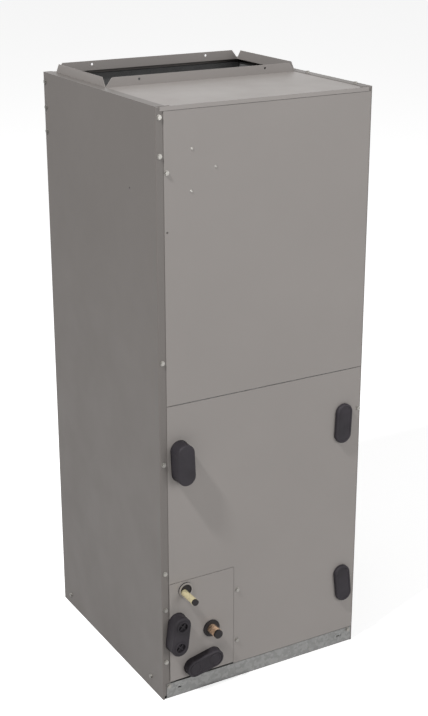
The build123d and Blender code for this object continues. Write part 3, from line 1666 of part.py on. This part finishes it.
# Casing screws on the left post, the walls and the top edge
with BuildPart() as casing_screws:
    for height in post_screw_heights:
        add(hex_screw(front_plane(from_left(post_screw_side), height, post_front)))
    for height, setback in wall_screws_low:
        add(hex_screw(Plane(origin=(left, front + setback, height), z_dir=(-1, 0, 0))))
        add(hex_screw(Plane(origin=(right, front + setback, height), z_dir=(1, 0, 0))))
    for height in left_back_heights:
        add(hex_screw(Plane(origin=(left, back - wall_screw_setback, height), z_dir=(-1, 0, 0))))
    for height in right_wall_heights:
        add(hex_screw(Plane(origin=(right, front + wall_screw_setback, height), z_dir=(1, 0, 0))))
    for setback in top_edge_screw_setback:
        add(hex_screw(Plane(origin=(right - top_flange_width / 2, front + setback, cabinet_height))))
casing_screws.part.label = "casing_screws"
export_step(casing_screws.part, "parts/casing_screws.step")
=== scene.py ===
import json
import math

import bmesh
import bpy
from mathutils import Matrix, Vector


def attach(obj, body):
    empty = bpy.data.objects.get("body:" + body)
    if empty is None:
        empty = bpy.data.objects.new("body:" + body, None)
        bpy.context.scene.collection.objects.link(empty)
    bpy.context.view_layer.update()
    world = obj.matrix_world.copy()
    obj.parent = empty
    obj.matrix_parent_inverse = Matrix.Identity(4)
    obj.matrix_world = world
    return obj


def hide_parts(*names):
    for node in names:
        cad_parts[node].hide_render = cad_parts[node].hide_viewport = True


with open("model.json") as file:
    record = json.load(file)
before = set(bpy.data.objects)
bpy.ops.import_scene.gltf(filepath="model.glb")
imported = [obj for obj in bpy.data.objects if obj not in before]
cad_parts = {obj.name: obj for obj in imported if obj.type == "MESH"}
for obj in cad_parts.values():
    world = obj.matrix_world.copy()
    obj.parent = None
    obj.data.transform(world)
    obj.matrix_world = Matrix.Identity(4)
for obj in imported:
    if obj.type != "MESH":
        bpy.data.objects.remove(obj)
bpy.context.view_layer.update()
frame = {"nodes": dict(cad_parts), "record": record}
nodes = frame["nodes"]
record = frame["record"]
body_of_node = {n: b for b, names in record["behaviour"]["bodies"].items() for n in names}
slot_of_node = {row["node"]: row["material_slot"] for row in record["subparts"]}

# Camera, solved from the photograph's seven visible cabinet corners
CAMERA_PLACE = (-1.5416, -2.7154, 1.8393)
CAMERA_PITCH = math.radians(90 - 19.869)
CAMERA_YAW = math.radians(-30.047)
CAMERA_LENS = 69.49
CAMERA_SENSOR = 36.0

# Floor and backdrop
FLOOR_SIZE = 60.0
FLOOR_GAP = 0.0005
FLOOR_GREY = (0.75, 0.75, 0.75, 1)
FLOOR_GLOW = 0.62
WORLD_LIGHT = 0.385
WHITE = (1.0, 1.0, 1.0, 1.0)

# Lights: a small far one grazes the front from the upper left, a wide one faces the front
KEY_PLACE = (-3.35, -1.30, 5.57)
KEY_TARGET = (-0.2, -0.28, 0.55)
KEY_SIZE = 0.40
KEY_POWER = 320
FILL_PLACE = (1.6, -4.5, 2.0)
FILL_TARGET = (0, -0.2, 0.7)
FILL_SIZE = 2.5
FILL_POWER = 105

# Surfaces: the part of a noise that is used, and how strongly paint and mouldings shine
NOISE_LOW = 0.3
NOISE_HIGH = 0.7
PAINT_SHINE = 0.3
MOULDING_SHINE = 0.25
ZINC_METAL_SHARE = 0.7


def new_material(name):
    """An empty node material with its shader and output."""
    material = bpy.data.materials.new(name)
    material.use_nodes = True
    tree = material.node_tree
    tree.nodes.clear()
    output = tree.nodes.new("ShaderNodeOutputMaterial")
    shader = tree.nodes.new("ShaderNodeBsdfPrincipled")
    tree.links.new(shader.outputs["BSDF"], output.inputs["Surface"])
    return material, tree, shader


def noise(tree, scale, detail=3.0, stretch=(1, 1, 1), distortion=0.0):
    """Object-space noise, stretched along an axis where asked."""
    place = tree.nodes.new("ShaderNodeTexCoord")
    mapping = tree.nodes.new("ShaderNodeMapping")
    mapping.inputs["Scale"].default_value = stretch
    tree.links.new(place.outputs["Object"], mapping.inputs["Vector"])
    node = tree.nodes.new("ShaderNodeTexNoise")
    node.inputs["Scale"].default_value = scale
    node.inputs["Detail"].default_value = detail
    node.inputs["Distortion"].default_value = distortion
    tree.links.new(mapping.outputs["Vector"], node.inputs["Vector"])
    return node.outputs["Fac"]


def cells(tree, scale, feature="F1"):
    """Object-space cells, for crystals and pebbles."""
    place = tree.nodes.new("ShaderNodeTexCoord")
    node = tree.nodes.new("ShaderNodeTexVoronoi")
    node.feature = feature
    node.inputs["Scale"].default_value = scale
    tree.links.new(place.outputs["Object"], node.inputs["Vector"])
    return node


def between(tree, factor, low, high):
    """Colour that runs from low to high with a factor."""
    ramp = tree.nodes.new("ShaderNodeValToRGB")
    ramp.color_ramp.elements[0].position = NOISE_LOW
    ramp.color_ramp.elements[1].position = NOISE_HIGH
    ramp.color_ramp.elements[0].color = (*low, 1)
    ramp.color_ramp.elements[1].color = (*high, 1)
    tree.links.new(factor, ramp.inputs["Fac"])
    return ramp.outputs["Color"]


def spread(tree, factor, low, high):
    """Number that runs from low to high with a factor."""
    node = tree.nodes.new("ShaderNodeMapRange")
    node.inputs["From Min"].default_value = NOISE_LOW
    node.inputs["From Max"].default_value = NOISE_HIGH
    node.inputs["To Min"].default_value = low
    node.inputs["To Max"].default_value = high
    tree.links.new(factor, node.inputs["Value"])
    return node.outputs["Result"]


def bump(tree, shader, factor, strength, distance):
    """Surface relief from a factor; a second call adds to the first."""
    node = tree.nodes.new("ShaderNodeBump")
    node.inputs["Strength"].default_value = strength
    node.inputs["Distance"].default_value = distance
    tree.links.new(factor, node.inputs["Height"])
    before = shader.inputs["Normal"].links
    if before:
        tree.links.new(before[0].from_socket, node.inputs["Normal"])
    tree.links.new(node.outputs["Normal"], shader.inputs["Normal"])


def shade(colour, amount):
    """A colour made lighter or darker by a share."""
    return tuple(min(1.0, c * (1 + amount)) for c in colour)


def painted(name, colour, variation=0.05, roughness=(0.38, 0.5)):
    """Baked enamel on sheet steel: faint mottling, fine orange peel."""
    material, tree, shader = new_material(name)
    patches = noise(tree, 3.5, 4.0)
    tree.links.new(
        between(tree, patches, shade(colour, -variation), shade(colour, variation)),
        shader.inputs["Base Color"],
    )
    tree.links.new(spread(tree, noise(tree, 9.0), *roughness), shader.inputs["Roughness"])
    shader.inputs["Specular IOR Level"].default_value = PAINT_SHINE
    bump(tree, shader, noise(tree, 420.0, 2.0), 0.10, 0.0002)
    bump(tree, shader, noise(tree, 6.0, 1.0), 0.05, 0.004)
    return material


def zinc(name, colour, crystal_scale=90.0, contrast=0.22, roughness=(0.28, 0.5)):
    """Hot-dip zinc with crystals of differing brightness."""
    material, tree, shader = new_material(name)
    crystals = cells(tree, crystal_scale)
    separate = tree.nodes.new("ShaderNodeSeparateColor")
    tree.links.new(crystals.outputs["Color"], separate.inputs["Color"])
    tree.links.new(
        between(tree, separate.outputs["Red"], shade(colour, -contrast), shade(colour, contrast)),
        shader.inputs["Base Color"],
    )
    tree.links.new(spread(tree, separate.outputs["Green"], *roughness), shader.inputs["Roughness"])
    shader.inputs["Metallic"].default_value = ZINC_METAL_SHARE
    bump(tree, shader, noise(tree, 160.0, 3.0), 0.08, 0.0003)
    return material


def moulded(name, colour, variation=0.12, roughness=(0.42, 0.6), grain=900.0, grain_strength=0.25):
    """Moulded plastic or rubber with a fine eroded grain."""
    material, tree, shader = new_material(name)
    tree.links.new(
        between(tree, noise(tree, 18.0, 4.0), shade(colour, -variation), shade(colour, variation)),
        shader.inputs["Base Color"],
    )
    tree.links.new(spread(tree, noise(tree, 30.0), *roughness), shader.inputs["Roughness"])
    shader.inputs["Specular IOR Level"].default_value = MOULDING_SHINE
    bump(tree, shader, noise(tree, grain, 2.0), grain_strength, 0.0002)
    return material


def metal(
    name,
    colour,
    variation=0.12,
    roughness=(0.2, 0.38),
    stretch=(1, 1, 1),
    scale=60.0,
    share=1.0,
):
    """Metal with tarnish patches and fine marks; a share under one is dulled."""
    material, tree, shader = new_material(name)
    tree.links.new(
        between(tree, noise(tree, 12.0, 5.0), shade(colour, -variation), shade(colour, variation)),
        shader.inputs["Base Color"],
    )
    marks = noise(tree, scale, 4.0, stretch)
    tree.links.new(spread(tree, marks, *roughness), shader.inputs["Roughness"])
    shader.inputs["Metallic"].default_value = share
    bump(tree, shader, marks, 0.12, 0.0001)
    return material


def fibre(name, colour, variation=0.25, scale=500.0, roughness=(0.75, 0.95), strength=0.5):
    """Felted or woven fibre facing."""
    material, tree, shader = new_material(name)
    strands = noise(tree, scale, 4.0, (1, 1, 1), 1.5)
    tree.links.new(
        between(tree, strands, shade(colour, -variation), shade(colour, variation)),
        shader.inputs["Base Color"],
    )
    tree.links.new(spread(tree, noise(tree, 40.0), *roughness), shader.inputs["Roughness"])
    bump(tree, shader, strands, strength, 0.0006)
    return material


MATERIALS = {
    # The case is one grey enamel in lit and shaded copies: the side colour is darker as painted
    # shade, the top colour lighter as painted light, the front the middle one.
    "case_paint_side": painted("paint_side_painted_shade", (0.139, 0.127, 0.119), 0.025),
    "case_paint_top": painted("paint_top_painted_light", (0.244, 0.226, 0.215), 0.03),
    "case_paint_front": painted("paint_front", (0.226, 0.209, 0.198), 0.025),
    "galvanised": zinc("zinc_sheet", (0.25, 0.25, 0.245), 150.0, 0.10),
    "liner_board": fibre("liner_board", (0.10, 0.10, 0.10)),
    "drain_plastic": moulded("drain_plastic", (0.022, 0.019, 0.023), 0.3, (0.5, 0.7), 500.0, 0.4),
    "fin_pack": metal("fin_aluminium", (0.68, 0.69, 0.70), 0.08, (0.3, 0.45)),
    "copper_tube": metal("copper", (0.90, 0.62, 0.42), 0.08, (0.18, 0.32), share=0.7),
    "brass_fitting": metal("brass", (0.92, 0.82, 0.52), 0.04, (0.14, 0.24), share=0.65),
    "black_rubber": moulded("rubber", (0.016, 0.014, 0.015), 0.2, (0.5, 0.7), 600.0, 0.2),
    "filter_card": fibre("filter_card", (0.50, 0.38, 0.25), 0.12, 260.0, (0.8, 0.95), 0.15),
    "filter_fibre": fibre("filter_fibre", (0.66, 0.70, 0.74), 0.14, 700.0),
    "board_laminate": moulded("board_laminate", (0.03, 0.17, 0.07), 0.2, (0.25, 0.4), 300.0, 0.05),
    "terminal_plastic": moulded("terminal_plastic", (0.035, 0.035, 0.038)),
    "core_steel": metal("core_steel", (0.16, 0.16, 0.17), 0.2, (0.4, 0.6), (60, 1, 1), 20.0),
    "motor_case": painted("motor_paint", (0.030, 0.030, 0.033), 0.2, (0.3, 0.45)),
    "shaft_steel": metal("shaft_steel", (0.55, 0.55, 0.56), 0.08, (0.18, 0.3), (1, 30, 30), 30.0),
    "zinc_screw": metal("screw_zinc", (0.34, 0.33, 0.31), 0.12, (0.4, 0.6)),
}
for node_name, node in nodes.items():
    node.data.materials.clear()
    node.data.materials.append(MATERIALS[slot_of_node[node_name]])


# Rolled edges, in metres and degrees; a moulding's facets under the area are curves
SHEET_EDGE = 0.0005
SHEET_BEND_ANGLE = 30
MOULD_EDGE = 0.0009
MOULD_SEGMENTS = 3
MOULD_BEND_ANGLE = 25
SMOOTH_AREA = 0.00006

# Closing of the CAD meshes, in metres and radians
SEAM_DISTANCE = 1e-6
FLAT_ANGLE = math.radians(0.5)


def clean_copy(node_name):
    """Bmesh of a CAD node with its seams closed and flat faces joined."""
    work = bmesh.new()
    work.from_mesh(nodes[node_name].data)
    bmesh.ops.remove_doubles(work, verts=work.verts, dist=SEAM_DISTANCE)
    bmesh.ops.dissolve_limit(
        work,
        angle_limit=FLAT_ANGLE,
        verts=work.verts,
        edges=work.edges,
        delimit={"NORMAL"},
    )
    return work


def finish_piece(name, work, body, slot, *replaced):
    """Turns a bmesh into a named piece that rides on a body."""
    mesh = bpy.data.meshes.new(name)
    work.to_mesh(mesh)
    work.free()
    piece = bpy.data.objects.new(name, mesh)
    bpy.context.scene.collection.objects.link(piece)
    mesh.materials.append(MATERIALS[slot])
    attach(piece, body)
    if replaced:
        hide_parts(*replaced)
    return piece


def rounded(node_name, width, segments=2, angle=SHEET_BEND_ANGLE):
    """The CAD node again with small rolled edges; a moulding's curved facets are smooth."""
    work = clean_copy(node_name)
    piece = finish_piece(
        node_name + "_rounded",
        work,
        body_of_node[node_name],
        slot_of_node[node_name],
        node_name,
    )
    for polygon in piece.data.polygons:
        polygon.use_smooth = polygon.area < SMOOTH_AREA and angle < SHEET_BEND_ANGLE
    edge = piece.modifiers.new("rolled_edge", "BEVEL")
    edge.width = width
    edge.segments = segments
    edge.limit_method = "ANGLE"
    edge.angle_limit = math.radians(angle)
    edge.use_clamp_overlap = True
    return piece


for node_name in (
    "left_side_panel",
    "right_side_panel",
    "top_panel",
    "upper_access_panel",
    "lower_access_panel",
    "connection_plate",
    "filter_door",
):
    rounded(node_name, SHEET_EDGE)
for node_name in ("blank_port_plugs", "side_drain_pan", "bottom_drain_pan"):
    rounded(node_name, MOULD_EDGE, MOULD_SEGMENTS, MOULD_BEND_ANGLE)


# The liquid line's grommet has the case colour; its recess walls take black rubber as painted shade
# in the hole
GROMMET_SPLIT_Z = 0.22
RECESS_FACE_Y = -0.2806
RECESS_DEPTH = 0.004
FACING_FRONT = -0.9


def grommet_piece(name, keep_upper):
    """One of the two grommets, cut out of the CAD node by its height."""
    work = clean_copy("grommets")
    unwanted = [v for v in work.verts if (v.co.z > GROMMET_SPLIT_Z) != keep_upper]
    bmesh.ops.delete(work, geom=unwanted, context="VERTS")
    slot = "case_paint_front" if keep_upper else "black_rubber"
    piece = finish_piece(name, work, body_of_node["grommets"], slot, "grommets")
    piece.data.materials.append(MATERIALS["black_rubber"])
    for polygon in piece.data.polygons:
        front_ring = polygon.normal.y < FACING_FRONT and polygon.center.y < RECESS_FACE_Y
        behind = polygon.center.y > RECESS_FACE_Y + RECESS_DEPTH
        # Recess walls get index 1, black rubber: on the liquid grommet this is painted shade.
        polygon.material_index = 0 if front_ring or behind else 1
    return piece


grommet_piece("liquid_grommet", True)
grommet_piece("suction_grommet", False)

# Tubes: the CAD's many-sided runs again, as smooth bends
TUBE_LEVELS = 2
TUBE_CREASE_ANGLE = math.radians(60)


def smooth_tubes(node_name):
    """The CAD tubes again with round sections and bends; their ends stay square."""
    work = clean_copy(node_name)
    crease = work.edges.layers.float.get("crease_edge") or work.edges.layers.float.new("crease_edge")
    for edge in work.edges:
        if len(edge.link_faces) == 2 and edge.calc_face_angle() > TUBE_CREASE_ANGLE:
            edge[crease] = 1.0
    body = body_of_node[node_name]
    piece = finish_piece(node_name + "_smooth", work, body, slot_of_node[node_name], node_name)
    for polygon in piece.data.polygons:
        polygon.use_smooth = True
    rounding = piece.modifiers.new("round_section", "SUBSURF")
    rounding.levels = TUBE_LEVELS
    rounding.render_levels = TUBE_LEVELS


for node_name in ("return_bends", "liquid_line", "distributor_tubes"):
    smooth_tubes(node_name)

# Fin packs: thin sheets whose edges step in and out a little, in metres
FIN_PITCH = 0.0018
FIN_GAUGE = 0.00016
FIN_EDGE_INSET = 0.0004
HALF_SLAB = 0.024
FIN_STEPS = 5
FIN_STEP_STRIDE = 7


def slab_corners(node_name):
    """The four corners of a slab's section in X and Z, and its ends in Y."""
    points = [nodes[node_name].matrix_world @ v.co for v in nodes[node_name].data.vertices]
    lowest = min(points, key=lambda p: p.z)
    highest = max(points, key=lambda p: p.z)
    leftmost = min(points, key=lambda p: p.x)
    rightmost = max(points, key=lambda p: p.x)
    corners = [(p.x, p.z) for p in (lowest, rightmost, highest, leftmost)]
    return corners, min(p.y for p in points), max(p.y for p in points)


def add_sheet(work, corners, start, gauge):
    """One flat sheet with the given section, from start along Y."""
    near = [work.verts.new((x, start, z)) for x, z in corners]
    far = [work.verts.new((x, start + gauge, z)) for x, z in corners]
    work.faces.new(near)
    work.faces.new(reversed(far))
    for i in range(len(corners)):
        j = (i + 1) % len(corners)
        work.faces.new((near[j], near[i], far[i], far[j]))


def fin_pack(node_name):
    """A slab as a stack of thin fins."""
    corners, start, end = slab_corners(node_name)
    centre_x = sum(x for x, _ in corners) / 4
    centre_z = sum(z for _, z in corners) / 4
    work = bmesh.new()
    count = int((end - start) / FIN_PITCH)
    for i in range(count):
        scale = 1.0 - FIN_EDGE_INSET / HALF_SLAB * ((i * FIN_STEP_STRIDE) % FIN_STEPS) / FIN_STEPS
        outline = [
            (centre_x + (x - centre_x) * scale, centre_z + (z - centre_z) * scale)
            for x, z in corners
        ]
        add_sheet(work, outline, start + i * FIN_PITCH, FIN_GAUGE)
    body = body_of_node[node_name]
    finish_piece(node_name + "_fins", work, body, slot_of_node[node_name], node_name)


fin_pack("coil_left")
fin_pack("coil_right")


def stage_floor():
    """White floor that keeps a soft shadow for the camera."""
    bpy.ops.mesh.primitive_plane_add(size=FLOOR_SIZE, location=(0, 0, -FLOOR_GAP))
    floor = bpy.context.object
    floor.name = "floor"
    material = bpy.data.materials.new("floor_white")
    material.use_nodes = True
    tree = material.node_tree
    tree.nodes.clear()
    output = tree.nodes.new("ShaderNodeOutputMaterial")
    diffuse = tree.nodes.new("ShaderNodeBsdfDiffuse")
    diffuse.inputs["Color"].default_value = FLOOR_GREY
    glow = tree.nodes.new("ShaderNodeEmission")
    glow.inputs["Color"].default_value = WHITE
    path = tree.nodes.new("ShaderNodeLightPath")
    seen = tree.nodes.new("ShaderNodeMath")
    seen.operation = "MAXIMUM"
    tree.links.new(path.outputs["Is Camera Ray"], seen.inputs[0])
    tree.links.new(path.outputs["Is Transmission Ray"], seen.inputs[1])
    strength = tree.nodes.new("ShaderNodeMath")
    strength.operation = "MULTIPLY"
    strength.inputs[1].default_value = FLOOR_GLOW
    tree.links.new(seen.outputs["Value"], strength.inputs[0])
    tree.links.new(strength.outputs["Value"], glow.inputs["Strength"])
    total = tree.nodes.new("ShaderNodeAddShader")
    tree.links.new(diffuse.outputs["BSDF"], total.inputs[0])
    tree.links.new(glow.outputs["Emission"], total.inputs[1])
    tree.links.new(total.outputs["Shader"], output.inputs["Surface"])
    floor.data.materials.append(material)


def stage_world():
    """White to the camera and in reflections, plain grey light on the object."""
    world = bpy.data.worlds.new("studio")
    bpy.context.scene.world = world
    world.use_nodes = True
    tree = world.node_tree
    tree.nodes.clear()
    output = tree.nodes.new("ShaderNodeOutputWorld")
    seen = tree.nodes.new("ShaderNodeBackground")
    seen.inputs["Color"].default_value = WHITE
    light = tree.nodes.new("ShaderNodeBackground")
    light.inputs["Color"].default_value = WHITE
    light.inputs["Strength"].default_value = WORLD_LIGHT
    path = tree.nodes.new("ShaderNodeLightPath")
    first = tree.nodes.new("ShaderNodeMath")
    first.operation = "MAXIMUM"
    tree.links.new(path.outputs["Is Camera Ray"], first.inputs[0])
    tree.links.new(path.outputs["Is Transmission Ray"], first.inputs[1])
    second = tree.nodes.new("ShaderNodeMath")
    second.operation = "MAXIMUM"
    tree.links.new(first.outputs["Value"], second.inputs[0])
    tree.links.new(path.outputs["Is Glossy Ray"], second.inputs[1])
    mix = tree.nodes.new("ShaderNodeMixShader")
    tree.links.new(second.outputs["Value"], mix.inputs["Fac"])
    tree.links.new(light.outputs["Background"], mix.inputs[1])
    tree.links.new(seen.outputs["Background"], mix.inputs[2])
    tree.links.new(mix.outputs["Shader"], output.inputs["Surface"])


def area_light(name, place, target, size, power):
    """Square soft light aimed at a point."""
    data = bpy.data.lights.new(name, "AREA")
    data.size = size
    data.energy = power
    lamp = bpy.data.objects.new(name, data)
    lamp.location = place
    lamp.rotation_euler = (Vector(target) - Vector(place)).to_track_quat("-Z", "Y").to_euler()
    bpy.context.scene.collection.objects.link(lamp)


stage_floor()
stage_world()
area_light("key", KEY_PLACE, KEY_TARGET, KEY_SIZE, KEY_POWER)
area_light("fill", FILL_PLACE, FILL_TARGET, FILL_SIZE, FILL_POWER)

camera_data = bpy.data.cameras.new("camera")
camera_data.sensor_fit = "VERTICAL"
camera_data.sensor_height = CAMERA_SENSOR
camera_data.lens = CAMERA_LENS
camera = bpy.data.objects.new("camera", camera_data)
camera.location = CAMERA_PLACE
camera.rotation_euler = (CAMERA_PITCH, 0, CAMERA_YAW)
bpy.context.scene.collection.objects.link(camera)
bpy.context.scene.camera = camera
bpy.context.scene.view_settings.view_transform = "Standard"
